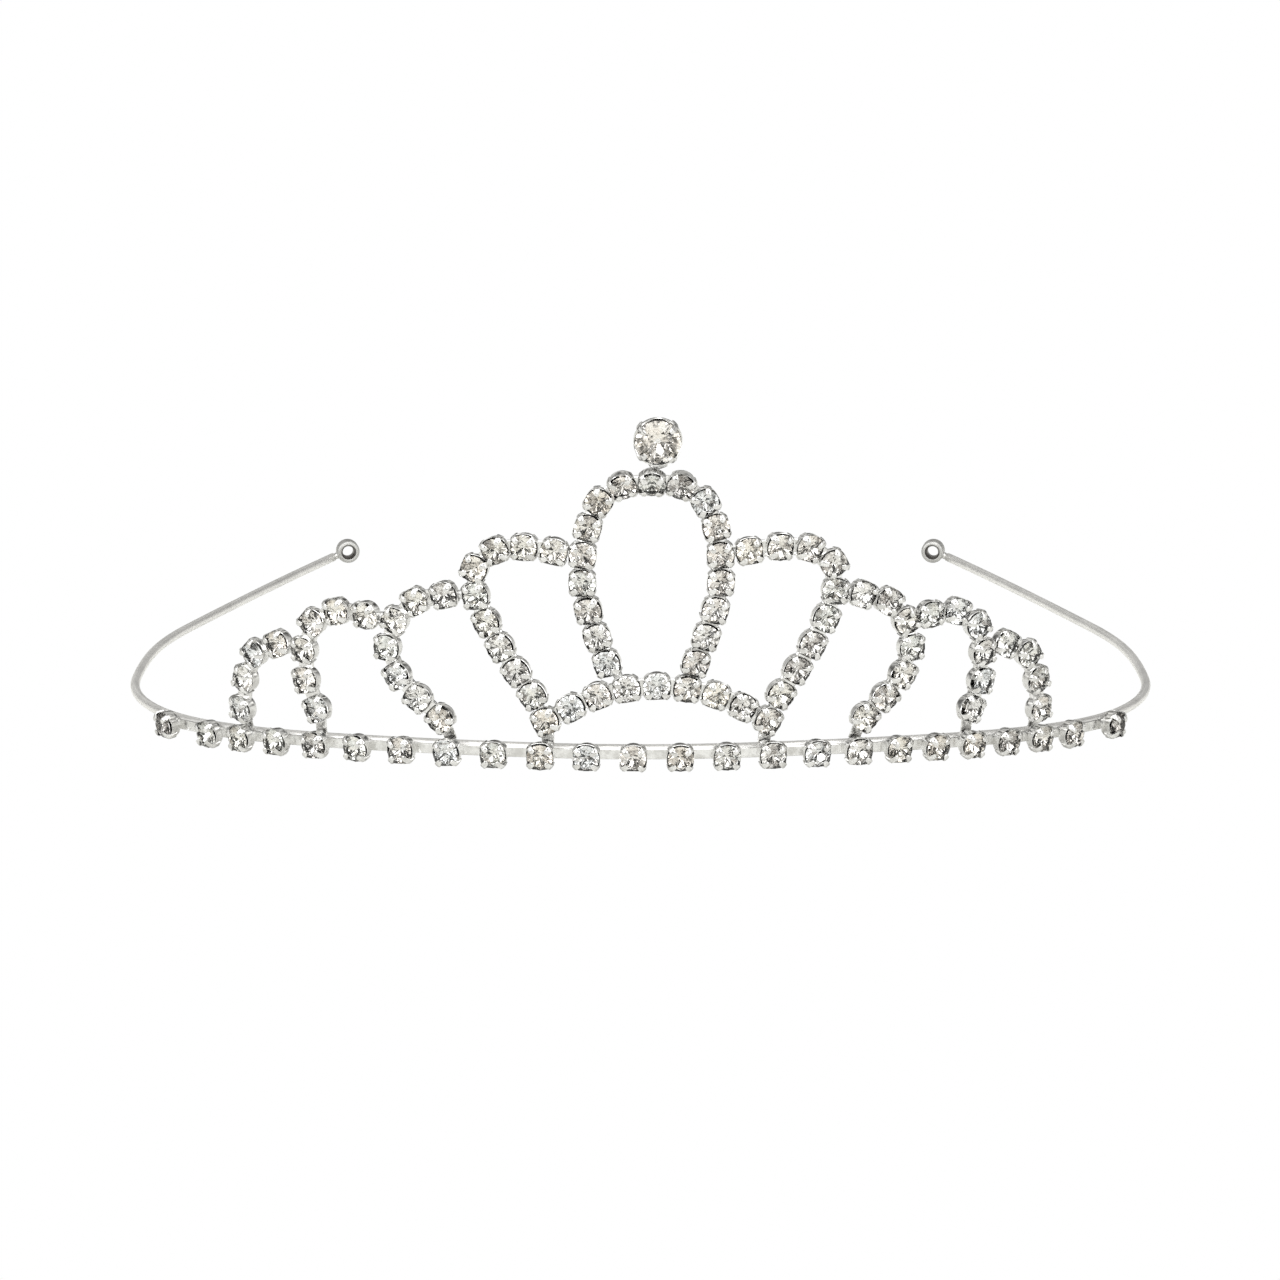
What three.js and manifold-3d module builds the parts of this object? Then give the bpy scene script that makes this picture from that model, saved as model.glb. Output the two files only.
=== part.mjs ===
// Bridal tiara: an open spring-wire band, a crown front of rhinestone cup chain soldered to
// it, a claw-set stone at the peak and a hairpin eye on each end of the wire.
// Millimetres, +Z up, the front of the crown faces -Y. The finished piece stands on z = 0.
import * as THREE from 'three';
import { mergeVertices } from 'three/addons/utils/BufferGeometryUtils.js';
import Module from 'manifold-3d';

const wasm = await Module();
wasm.setup();

// ---------------------------------------------------------------- driving dimensions
const deg = Math.PI / 180;

// band wire
const wireDiameter = 1.3;
const frontRadius = 82;        // plan radius of the part that carries the crown
const cornerRadius = 45.25;    // tighter bend behind the end cups
const bandArcs = [             // plan of one half: radius, heading reached (degrees from +X)
  { radius: frontRadius, heading: 45 },
  { radius: cornerRadius, heading: 90 },
  { radius: 167, heading: 94.8 },
  { radius: 81, heading: 109.1 },
  { radius: 900, heading: 112.5 },
];
const bandSag = 3.8;           // the front centre stands this much above the arms
const sagReach = 60;           // and most of it is lost this far round the band
const armDip = 0.15;           // each arm dips by this between its flex point and its eye
const wireSides = 8;
const frontWireSteps = 29;     // odd, so that one flat faces straight back at the centre
const armWireSteps = 26;
const flexMargin = 1.2;        // from the end cup's edge to the arm's flex point
const flexGap = 0.3;           // between the front wire and each arm at its flex point

// hairpin eyes
const eyeDiameter = 3.5;
const eyeBore = 1.8;
const eyeLength = 2.4;
const eyeChamfer = 0.25;
const eyeSides = 12;
const eyeTurn = 10 * deg;      // each bore runs back and a little outwards
const eyeRise = 0.9;           // an eye's centre stands this much above its wire end's
const eyeLift = 0.6;           // the eyes' undersides are this much above the end cups'

// cup chain
const cupDiameter = 3.6;
const cupBackDiameter = 3.3;
const cupDepth = 2.5;
const cupWall = 0.2;
const cupFloor = 0.75;
const prongRise = 0.45;
const linkGap = 0.35;          // between neighbouring cups of a close chain
const linkThickness = 0.35;
const closeLinkWidth = 1.0;
const baseLinkWidth = 1.4;
const baseLinkRise = 0.2;      // base links sit a little above the cups' centres
const stoneClearance = 0.12;   // stone to cup, all round and below
const soldering = 0.15;        // gap that solder fills between two soldered pieces
const footSet = 0.1;           // the feet stand this far out from the wire's centre-line

// stones
const girdleHeight = 0.62;     // of the cup's depth
const tableRatio = 0.56;       // table diameter over girdle diameter
const crownRatio = 0.17;       // crown height over girdle diameter
const pavilionRatio = 0.36;

// crown
const crownLean = 4.5 * deg;   // the crown leans outwards as it rises
const baseCups = 24;
const baseSpacing = 1.53;      // base chain spacing, in close-chain pitches
const endSpacing = 2.36;       // longer last link at each end, in pitches
const baseDrop = 0.6;          // base cups' centres are this far below the wire's
const crownShift = 2.1;        // the crown's middle stands this far right of the band's,
const shiftHold = 15;          // and so does the crown up to this far round the band;
const shiftEnd = 60;           // from here on nothing is shifted
const ovalShift = -0.7;        // the oval stands a little left of the crown's middle,
const ovalFade = 3;            // and the inner arches' first points follow it, less each time

// peak stone
const peakDiameter = 6.6;
const peakBackDiameter = 4.75;
const peakDepth = 3.6;
const peakFloor = 1.0;
const peakProngRise = 0.8;

// ---------------------------------------------------------------- derived sizes
const pitch = cupDiameter + linkGap;
const wireRadius = wireDiameter / 2;
const cupRadius = cupDiameter / 2;
const cupSides = 8;
const strandSteps = 400;       // samples of a strand's length, for even spacing
const slopeStep = 0.01;        // distance over which the crown's slope is taken
const weld = 1e-5;             // vertices closer than this are one
const backOffset = wireRadius + soldering;   // cups' backs stand this far out from the wire
const endCupReach = ((baseCups / 2 - 1.5) * baseSpacing + endSpacing) * pitch;
const flexReach = endCupReach + cupRadius + flexMargin;

const silver = new THREE.MeshStandardMaterial({ color: 0xd6d6d8, roughness: 0.28, metalness: 1 });
const crystal = new THREE.MeshStandardMaterial({ color: 0xf4f6fa, roughness: 0.03, metalness: 0 });

// ---------------------------------------------------------------- band geometry
// Plan point and heading at distance s round the wire from the front centre, for s >= 0.
function planAt(s) {
  let x = 0;
  let y = 0;
  let start = 0;
  let rest = s;
  for (const [k, arc] of bandArcs.entries()) {
    const end = arc.heading * deg;
    const length = arc.radius * (end - start);
    const last = k === bandArcs.length - 1;
    const stop = rest <= length || last ? start + rest / arc.radius : end;
    x += arc.radius * (Math.sin(stop) - Math.sin(start));
    y += arc.radius * (Math.cos(start) - Math.cos(stop));
    if (rest <= length || last) return { x, y, heading: stop };
    rest -= length;
    start = end;
  }
  return null;
}

const halfWire = bandArcs.reduce(
  (sum, arc, k) => sum + arc.radius * (arc.heading - (k ? bandArcs[k - 1].heading : 0)) * deg, 0);

// Height of the wire's centre-line above its front centre, at distance s round the band.
const sagAt = (s) => bandSag * (1 - Math.exp(-((s / sagReach) ** 3)));

// Along each arm the wire settles on its way to the eye, whose height follows the end cups'.
const cupFoot = cupRadius * Math.cos(crownLean) + (cupDepth - prongRise) * Math.sin(crownLean);
const eyeHeight = eyeDiameter / 2 + eyeLift - sagAt(endCupReach) - baseDrop - cupFoot;
const armSettle = eyeHeight - eyeRise + sagAt(halfWire);

function heightAt(s) {
  const along = THREE.MathUtils.clamp((s - flexReach) / (halfWire - flexReach), 0, 1);
  const dip = armDip * Math.sin(Math.PI * along) ** 2;
  return armSettle * THREE.MathUtils.smoothstep(along, 0, 1) - sagAt(s) - dip;
}

// Point of the crown surface: s round the wire (signed), h above it, n outwards from it.
function surfacePoint(s, h, n) {
  const side = Math.sign(s) || 1;
  const plan = planAt(Math.abs(s));
  const out = n + h * Math.tan(crownLean);
  return new THREE.Vector3(
    side * (plan.x + Math.sin(plan.heading) * out),
    plan.y - Math.cos(plan.heading) * out,
    h + heightAt(Math.abs(s)));
}

// Distance round the wire at which a part of the crown stands, from its even spacing.
function standAt(s) {
  return s + crownShift * (1 - THREE.MathUtils.smoothstep(Math.abs(s), shiftHold, shiftEnd));
}

class BandCurve extends THREE.Curve {
  constructor(from, to) {
    super();
    this.from = from;
    this.to = to;
  }

  getPoint(t) {
    return surfacePoint(this.from + (this.to - this.from) * t, 0, 0);
  }
}

// ---------------------------------------------------------------- solids
function toManifold(geometry) {
  const plain = geometry.clone();
  plain.deleteAttribute('normal');
  plain.deleteAttribute('uv');
  const merged = mergeVertices(plain, weld);
  return new wasm.Manifold(new wasm.Mesh({
    numProp: 3,
    vertProperties: Float32Array.from(merged.attributes.position.array),
    triVerts: Uint32Array.from(merged.index.array),
  }));
}

function fromManifold(solid) {
  const mesh = solid.getMesh();
  const geometry = new THREE.BufferGeometry();
  geometry.setAttribute('position', new THREE.BufferAttribute(mesh.vertProperties, 3));
  geometry.setIndex(new THREE.BufferAttribute(mesh.triVerts, 1));
  geometry.computeVertexNormals();
  return geometry;
}

function join(geometries) {
  let solid = toManifold(geometries[0]);
  for (const geometry of geometries.slice(1)) solid = solid.add(toManifold(geometry));
  return fromManifold(solid);
}

// Closed solid through rings of equal vertex count, the first facing down, the last up.
function loft(rings) {
  const sides = rings[0].length;
  const position = rings.flat().flatMap((p) => [p.x, p.y, p.z]);
  const index = [];
  for (let r = 0; r + 1 < rings.length; r += 1) {
    for (let k = 0; k < sides; k += 1) {
      const a = r * sides + k;
      const b = r * sides + ((k + 1) % sides);
      index.push(a, b, b + sides, a, b + sides, a + sides);
    }
  }
  const top = (rings.length - 1) * sides;
  for (let k = 1; k + 1 < sides; k += 1) {
    index.push(0, k + 1, k);
    index.push(top, top + k, top + k + 1);
  }
  const geometry = new THREE.BufferGeometry();
  geometry.setAttribute('position', new THREE.Float32BufferAttribute(position, 3));
  geometry.setIndex(index);
  return geometry;
}

// Ring of a cup; every second corner can rise as a prong.
function cupRing(radius, height, rise = 0) {
  return Array.from({ length: cupSides }, (_, k) => {
    const angle = (k * 2 * Math.PI) / cupSides;
    const z = height + (k % 2 ? rise : 0);
    return new THREE.Vector3(radius * Math.cos(angle), radius * Math.sin(angle), z);
  });
}

// Open cup with its back on z = 0 and its prongs rising to the full depth.
function cupGeometry({ radius, back, depth, floor, rise }) {
  const rim = depth - rise;
  const atFloor = back + ((radius - back) * floor) / rim;
  return loft([
    cupRing(back, 0),
    cupRing(radius, rim, rise),
    cupRing(radius - cupWall, rim, rise),
    cupRing(atFloor - cupWall, floor),
  ]);
}

// Sizes of the stone that sits in a cup of this radius and depth.
function stoneSizes({ radius, depth, floor }) {
  const girdle = radius - cupWall - stoneClearance;
  const height = Math.max(depth * girdleHeight, floor + stoneClearance + 2 * girdle * pavilionRatio);
  return {
    girdle,
    height,
    table: girdle * tableRatio,
    top: height + 2 * girdle * crownRatio,
    culet: height - 2 * girdle * pavilionRatio,
  };
}

function stoneGeometry(cup) {
  const size = stoneSizes(cup);
  const profile = [
    new THREE.Vector2(0, size.culet),
    new THREE.Vector2(size.girdle, size.height),
    new THREE.Vector2(size.table, size.top),
    new THREE.Vector2(0, size.top),
  ];
  return new THREE.LatheGeometry(profile, cupSides).rotateX(Math.PI / 2);
}

// Cup with its stone in one closed solid, for the chains whose stones have no node.
function filledCupGeometry(cup) {
  const size = stoneSizes(cup);
  const rim = cup.depth - cup.rise;
  return loft([
    cupRing(cup.back, 0),
    cupRing(cup.radius, rim, cup.rise),
    cupRing(size.girdle, size.height),
    cupRing(size.table, size.top),
  ]);
}

const chainCup = {
  radius: cupRadius,
  back: cupBackDiameter / 2,
  depth: cupDepth,
  floor: cupFloor,
  rise: prongRise,
};
const peakCup = {
  radius: peakDiameter / 2,
  back: peakBackDiameter / 2,
  depth: peakDepth,
  floor: peakFloor,
  rise: peakProngRise,
};

// Flat bar between two points; its face is square to the outward direction.
function barGeometry(from, to, outward, width, thickness) {
  const along = new THREE.Vector3().subVectors(to, from);
  const length = along.length();
  along.normalize();
  const across = new THREE.Vector3().crossVectors(outward, along).normalize();
  const face = new THREE.Vector3().crossVectors(along, across);
  const centre = new THREE.Vector3().addVectors(from, to).multiplyScalar(0.5);
  const place = new THREE.Matrix4().makeBasis(along, across, face).setPosition(centre);
  return new THREE.BoxGeometry(length, width, thickness).applyMatrix4(place);
}

// ---------------------------------------------------------------- seats along the crown
// A seat is a cup's place: X along the strand, Z outwards, origin at the cup's back.
function seatMatrix(s, h, along, roll = 0) {
  const origin = surfacePoint(s, h, backOffset);
  const ahead = surfacePoint(s + slopeStep, h, backOffset);
  const round = ahead.sub(surfacePoint(s - slopeStep, h, backOffset)).normalize();
  const up = surfacePoint(s, h + slopeStep, backOffset).sub(origin).normalize();
  const out = new THREE.Vector3().crossVectors(round, up).normalize();
  const x = round.clone().multiplyScalar(along.x).addScaledVector(up, along.y).normalize();
  const y = new THREE.Vector3().crossVectors(out, x);
  const seat = new THREE.Matrix4().makeBasis(x, y, out);
  seat.multiply(new THREE.Matrix4().makeRotationX(roll));
  return seat.setPosition(origin);
}

// Cups evenly spaced along a curve drawn on the crown surface in chain pitches (s, h).
function strandSeats({ points, cups, rolls = {}, shiftAt = () => 0 }) {
  const curve = new THREE.CatmullRomCurve3(
    points.map(([s, h], k) => new THREE.Vector3(standAt(s * pitch) + shiftAt(k), h * pitch, 0)));
  curve.arcLengthDivisions = strandSteps;
  return Array.from({ length: cups }, (_, k) => {
    const t = k / (cups - 1);
    const at = curve.getPointAt(t);
    return seatMatrix(at.x, at.y, curve.getTangentAt(t), (rolls[k] ?? 0) * deg);
  });
}

function baseSeats() {
  const half = Array.from({ length: baseCups / 2 }, (_, k) => (
    k === baseCups / 2 - 1 ? endCupReach : (k + 0.5) * baseSpacing * pitch));
  const reaches = [...half.map((s) => -s).reverse(), ...half];
  return reaches.map((s) => seatMatrix(standAt(s), -baseDrop, new THREE.Vector2(1, 0)));
}

const originOf = (seat) => new THREE.Vector3().setFromMatrixPosition(seat);
const outwardOf = (seat) => new THREE.Vector3().setFromMatrixColumn(seat, 2);

// One chain in one solid: its cups, the flat links between them and any feet.
function chainGeometry(seats, { filled, linkWidth, linkRise = 0, feet = [] }) {
  const cup = filled ? filledCupGeometry(chainCup) : cupGeometry(chainCup);
  const pieces = seats.map((seat) => cup.clone().applyMatrix4(seat));
  const lift = new THREE.Vector3(0, 0, linkRise);
  const depth = cupFloor / 2;
  for (let k = 0; k + 1 < seats.length; k += 1) {
    const outward = outwardOf(seats[k]).add(outwardOf(seats[k + 1])).normalize();
    const from = originOf(seats[k]).addScaledVector(outwardOf(seats[k]), depth).add(lift);
    const to = originOf(seats[k + 1]).addScaledVector(outwardOf(seats[k + 1]), depth).add(lift);
    pieces.push(barGeometry(from, to, outward, linkWidth, linkThickness));
  }
  for (const foot of feet) pieces.push(foot);
  return join(pieces);
}

// Foot: the chain's last link, bent back from a cup on to the top of the wire.
function footGeometry(seat, s) {
  const from = originOf(seat).addScaledVector(outwardOf(seat), cupFloor / 2);
  const to = surfacePoint(standAt(s), wireRadius + soldering + linkThickness / 2, footSet);
  return barGeometry(from, to, outwardOf(seat), closeLinkWidth, linkThickness);
}

// ---------------------------------------------------------------- the crown's strands
// Points are (round, up) from the crown's middle on the wire, in chain pitches.
const ovalStrand = {
  points: [
    [-1.42, 3.15], [-1.97, 4.8], [-2.21, 6.3], [-1.75, 8.55], [-1.0, 9.3], [0, 9.47],
    [1.0, 9.3], [1.75, 8.55], [2.21, 6.3], [1.97, 4.8], [1.42, 3.15],
  ],
  cups: 17,
  rolls: { 7: 14, 8: 22, 9: 14 },
  shiftAt: () => ovalShift,
};
const crossStrand = {
  points: [[-3.62, 1.08], [-1.85, 2.03], [0, 2.35], [1.85, 2.03], [3.62, 1.08]],
  cups: 9,
};
const archStrands = [
  {
    name: 'inner_arch',
    points: [[3.08, 6.98], [4.0, 7.1], [4.95, 7.02], [5.76, 6.4], [5.8, 5.45], [5.05, 3.65], [4.03, 1.98]],
    cups: 9,
    shiftAt: (k) => ovalShift * Math.max(0, 1 - k / ovalFade),
  },
  {
    name: 'second_arch',
    points: [[6.79, 5.36], [7.7, 5.12], [8.42, 4.42], [8.72, 3.5], [8.4, 2.45], [7.05, 1.05]],
    cups: 7,
    footCup: 4.5,
  },
  {
    name: 'third_arch',
    points: [[9.4, 4.55], [10.35, 4.64], [11.28, 4.2], [11.65, 3.25], [11.67, 2.2], [11.3, 1.15]],
    cups: 6,
    footCup: 7.5,
  },
  {
    name: 'outer_arch',
    points: [[12.65, 3.36], [13.62, 2.97], [14.15, 1.98], [14.36, 0.93]],
    cups: 4,
    footCup: 9.5,
  },
];

const mirrored = (points) => points.map(([s, h]) => [-s, h]);

// ---------------------------------------------------------------- assembly
const group = new THREE.Group();

function addMesh(name, geometry, material) {
  const mesh = new THREE.Mesh(geometry, material);
  mesh.name = name;
  group.add(mesh);
  return mesh;
}

function wireGeometry(from, to, steps) {
  const section = new THREE.Shape(Array.from({ length: wireSides }, (_, k) => {
    const angle = ((k + 0.5) * 2 * Math.PI) / wireSides;
    return new THREE.Vector2(wireRadius * Math.cos(angle), wireRadius * Math.sin(angle));
  }));
  return new THREE.ExtrudeGeometry(section, {
    steps,
    extrudePath: new BandCurve(from, to),
    bevelEnabled: false,
  });
}

function eyeGeometry() {
  const outer = eyeDiameter / 2;
  const bore = eyeBore / 2;
  const half = eyeLength / 2;
  const profile = [
    [bore, -half + eyeChamfer], [bore + eyeChamfer, -half], [outer - eyeChamfer, -half],
    [outer, -half + eyeChamfer], [outer, half - eyeChamfer], [outer - eyeChamfer, half],
    [bore + eyeChamfer, half], [bore, half - eyeChamfer], [bore, -half + eyeChamfer],
  ].map(([r, z]) => new THREE.Vector2(r, z));
  return new THREE.LatheGeometry(profile, eyeSides);
}

// band
addMesh('front_wire', wireGeometry(-flexReach, flexReach, frontWireSteps), silver);
for (const [name, side] of [['left', -1], ['right', 1]]) {
  const from = side * (flexReach + flexGap);
  addMesh(`${name}_arm_wire`, wireGeometry(from, side * halfWire, armWireSteps), silver);
  // The wire's cut end lies against the side of the eye, which stands inside it.
  const end = surfacePoint(side * halfWire, 0, 0);
  const skew = planAt(halfWire).heading - Math.PI / 2 + eyeTurn;
  const reach = eyeDiameter / 2 + soldering + wireRadius * Math.cos(skew);
  const beside = Math.sqrt(reach ** 2 - eyeRise ** 2);
  const eye = addMesh(`hairpin_eye_${name}`, eyeGeometry(), silver);
  eye.position.set(
    end.x - side * beside * Math.cos(eyeTurn),
    end.y + beside * Math.sin(eyeTurn),
    end.z + eyeRise);
  eye.rotation.z = -side * eyeTurn;
}

// base chain and its stones
const seatsOfBase = baseSeats();
addMesh('base_chain', chainGeometry(seatsOfBase, {
  filled: false, linkWidth: baseLinkWidth, linkRise: baseLinkRise,
}), silver);
seatsOfBase.forEach((seat, k) => {
  const name = `base_stone_${String(k + 1).padStart(2, '0')}`;
  addMesh(name, stoneGeometry(chainCup).applyMatrix4(seat), crystal);
});

// oval and its stones
const seatsOfOval = strandSeats(ovalStrand);
addMesh('oval_chain', chainGeometry(seatsOfOval, {
  filled: false, linkWidth: closeLinkWidth,
}), silver);
seatsOfOval.forEach((seat, k) => {
  const name = `oval_stone_${String(k + 1).padStart(2, '0')}`;
  addMesh(name, stoneGeometry(chainCup).applyMatrix4(seat), crystal);
});

// flat cross arch on its two feet
const seatsOfCross = strandSeats(crossStrand);
const crossFoot = crossStrand.points.at(-1)[0] * pitch;
addMesh('cross_arch_chain', chainGeometry(seatsOfCross, {
  filled: true,
  linkWidth: closeLinkWidth,
  feet: [
    footGeometry(seatsOfCross[0], -crossFoot),
    footGeometry(seatsOfCross.at(-1), crossFoot),
  ],
}), silver);

// side arches, left and right
for (const strand of archStrands) {
  for (const [name, side] of [['left', -1], ['right', 1]]) {
    const points = side < 0 ? mirrored(strand.points) : strand.points;
    const seats = strandSeats({ ...strand, points });
    const feet = strand.footCup
      ? [footGeometry(seats.at(-1), side * strand.footCup * baseSpacing * pitch)]
      : [];
    addMesh(`${strand.name}_chain_${name}`, chainGeometry(seats, {
      filled: true, linkWidth: closeLinkWidth, feet,
    }), silver);
  }
}

// peak setting and stone, soldered on top of the oval
const ovalTop = Math.max(...ovalStrand.points.map((point) => point[1])) * pitch;
const peakHeight = ovalTop + cupRadius + soldering * 2 + peakCup.radius;
const peakSeat = seatMatrix(standAt(0), peakHeight, new THREE.Vector2(1, 0));
addMesh('peak_setting', cupGeometry(peakCup).applyMatrix4(peakSeat), silver);
addMesh('peak_stone', stoneGeometry(peakCup).applyMatrix4(peakSeat), crystal);

// stand the tiara on z = 0, centred over the origin
group.updateMatrixWorld(true);
const bounds = new THREE.Box3().setFromObject(group, true);
const middle = bounds.getCenter(new THREE.Vector3());
group.position.set(-middle.x, -middle.y, -bounds.min.z);

export default group;
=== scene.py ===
"""Looks of a bridal tiara: cup chain, cut stones, spring band, hairpin eyes and a soft studio.

Everything is laid out in millimetres on the crown's own surface and becomes metres when a
piece is made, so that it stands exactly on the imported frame.
"""

import logging
import math
import random
from dataclasses import dataclass, field
from enum import Enum

import bmesh
import bpy
import numpy as np
from mathutils import Matrix, Vector, noise


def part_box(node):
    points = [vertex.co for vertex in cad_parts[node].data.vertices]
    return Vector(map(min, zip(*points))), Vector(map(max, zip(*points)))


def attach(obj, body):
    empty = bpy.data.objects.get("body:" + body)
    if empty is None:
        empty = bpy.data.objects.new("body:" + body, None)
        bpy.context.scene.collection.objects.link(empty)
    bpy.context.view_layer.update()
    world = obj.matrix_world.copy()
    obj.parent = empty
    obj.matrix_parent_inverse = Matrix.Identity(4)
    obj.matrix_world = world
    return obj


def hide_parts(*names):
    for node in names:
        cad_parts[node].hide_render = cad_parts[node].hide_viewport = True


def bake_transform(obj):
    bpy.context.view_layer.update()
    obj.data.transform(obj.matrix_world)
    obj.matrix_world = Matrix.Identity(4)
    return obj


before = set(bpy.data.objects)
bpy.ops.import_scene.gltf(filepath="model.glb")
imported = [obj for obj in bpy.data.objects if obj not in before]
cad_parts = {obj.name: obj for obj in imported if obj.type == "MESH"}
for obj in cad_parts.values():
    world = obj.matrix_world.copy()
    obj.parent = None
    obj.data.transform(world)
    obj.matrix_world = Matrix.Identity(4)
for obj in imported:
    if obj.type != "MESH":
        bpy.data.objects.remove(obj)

LOG = logging.getLogger("tiara")
MM = 0.001
CROWN = "crown"


class Side(Enum):
    """The halves of the tiara as seen from its front, with the sign of X on each."""

    LEFT = -1
    RIGHT = 1

    @property
    def word(self) -> str:
        """The half's name as it stands in node and piece names."""
        return self.name.lower()


class Slot(Enum):
    """The record's material slots."""

    PLATED = "plated_silver"
    BAND = "band_silver"
    CRYSTAL = "crystal"


# ------------------------------------------------------------------------------ finishes
def fill_ramp(ramp: bpy.types.Node, stops: list[tuple[float, tuple]]) -> None:
    """Sets the stops of a colour ramp.

    Args:
        ramp: the ramp node.
        stops: places and colours along it.
    """
    bar = ramp.color_ramp.elements
    while len(bar) < len(stops):
        bar.new(0.5)
    for element, (place, colour) in zip(bar, stops):
        element.position = place
        element.color = (*colour, 1.0)


class NodeBench:
    """Short calls for building one material's node tree."""

    def __init__(self, name: str) -> None:
        """Starts an empty material with a Principled shader and its output.

        Args:
            name: the material's name.
        """
        self.material = bpy.data.materials.new(name)
        self.material.use_nodes = True
        self.tree = self.material.node_tree
        self.tree.nodes.clear()
        self.output = self.node("ShaderNodeOutputMaterial")
        self.shader = self.node("ShaderNodeBsdfPrincipled")
        self.link(self.shader, "BSDF", self.output, "Surface")

    def node(self, kind: str, **values: object) -> bpy.types.Node:
        """Adds a node.

        Args:
            kind: the node's type name.
            values: socket values by name, with underscores for spaces.

        Returns:
            The new node.
        """
        made = self.tree.nodes.new(kind)
        for key, value in values.items():
            made.inputs[key.replace("_", " ")].default_value = value
        return made

    def link(self, a: bpy.types.Node, out: str, b: bpy.types.Node, into: str) -> None:
        """Joins an output to an input by their names."""
        self.tree.links.new(a.outputs[out], b.inputs[into])

    def noise_at(self, scale: float, detail: float = 3.0) -> bpy.types.Node:
        """Adds a noise pattern in the piece's own coordinates.

        Args:
            scale: the noise's scale, per metre.
            detail: its levels of detail.

        Returns:
            The noise node.
        """
        where = self.node("ShaderNodeTexCoord")
        pattern = self.node("ShaderNodeTexNoise", Scale=scale, Detail=detail)
        self.link(where, "Object", pattern, "Vector")
        return pattern

    def ramp(self, source: bpy.types.Node, stops: list[tuple[float, tuple]]) -> bpy.types.Node:
        """Adds a colour ramp fed by a pattern.

        Args:
            source: the pattern node, read from its Fac output.
            stops: places and colours along the ramp.

        Returns:
            The ramp node.
        """
        made = self.node("ShaderNodeValToRGB")
        self.tree.links.new(source.outputs[0], made.inputs["Fac"])
        fill_ramp(made, stops)
        return made

    def spread(self, source: bpy.types.Node, low: float, high: float) -> bpy.types.Node:
        """Maps a pattern on to a range of values.

        Args:
            source: the pattern node.
            low: value where the pattern is 0.
            high: value where it is 1.

        Returns:
            The mapping node.
        """
        made = self.node("ShaderNodeMapRange", To_Min=low, To_Max=high)
        self.tree.links.new(source.outputs[0], made.inputs["Value"])
        return made

    def bump(self, source: bpy.types.Node, strength: float, distance: float) -> None:
        """Raises the surface by a pattern.

        Args:
            source: the pattern node.
            strength: the bump's strength.
            distance: its height in metres.
        """
        made = self.node("ShaderNodeBump", Strength=strength, Distance=distance)
        self.tree.links.new(source.outputs[0], made.inputs["Height"])
        self.link(made, "Normal", self.shader, "Normal")


@dataclass(frozen=True)
class SilverFinish:
    """A silver surface: plated cups and claws, solder, the drawn wire of the band, or the hairpin eyes,
    whose silver is darkened there as painted shade.
    """

    name: str
    light: tuple[float, float, float]
    dull: tuple[float, float, float]
    roughness: tuple[float, float]
    cloud_scale: float
    grain_scale: float
    grain: float
    grain_height: float = 0.00002
    dull_share: float = 0.35
    light_share: float = 0.62

    def material(self) -> bpy.types.Material:
        """Builds the material: clouded tone, uneven polish and a fine grain.

        Returns:
            The material.
        """
        bench = NodeBench(self.name)
        bench.shader.inputs["Metallic"].default_value = 1.0
        clouds = bench.noise_at(self.cloud_scale, 4.0)
        tone = bench.ramp(clouds, [(self.dull_share, self.dull), (self.light_share, self.light)])
        bench.link(tone, "Color", bench.shader, "Base Color")
        polish = bench.spread(clouds, *self.roughness)
        bench.link(polish, "Result", bench.shader, "Roughness")
        bench.bump(bench.noise_at(self.grain_scale, 2.0), self.grain, self.grain_height)
        return bench.material


@dataclass(frozen=True)
class CrystalFinish:
    """Clear cut glass, with the faint tint that one stone in a few shows."""

    name: str
    tint: tuple[float, float, float]
    ior: float = 1.58

    def material(self) -> bpy.types.Material:
        """Builds the glass of a stone's crown and table.

        Returns:
            The material.
        """
        bench = NodeBench(self.name)
        shader = bench.shader
        shader.inputs["Base Color"].default_value = (*self.tint, 1.0)
        shader.inputs["Transmission Weight"].default_value = 1.0
        shader.inputs["Roughness"].default_value = 0.0
        shader.inputs["IOR"].default_value = self.ior
        return bench.material


@dataclass(frozen=True)
class FoilFinish:
    """The mirror foil behind a stone, whose tone drifts from facet to facet between dark grey and white
    with faint tints: painted reflections and painted coloured glints.
    """

    name: str
    stops: tuple[tuple[float, tuple[float, float, float]], ...]
    scale: float = 900.0
    roughness: float = 0.04

    def material(self) -> bpy.types.Material:
        """Builds the foil of a stone's pavilion, with its painted reflections and glints.

        Returns:
            The material.
        """
        bench = NodeBench(self.name)
        bench.shader.inputs["Metallic"].default_value = 1.0
        bench.shader.inputs["Roughness"].default_value = self.roughness
        tone = bench.ramp(bench.noise_at(self.scale, 1.0), list(self.stops))
        bench.link(tone, "Color", bench.shader, "Base Color")
        return bench.material


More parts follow.
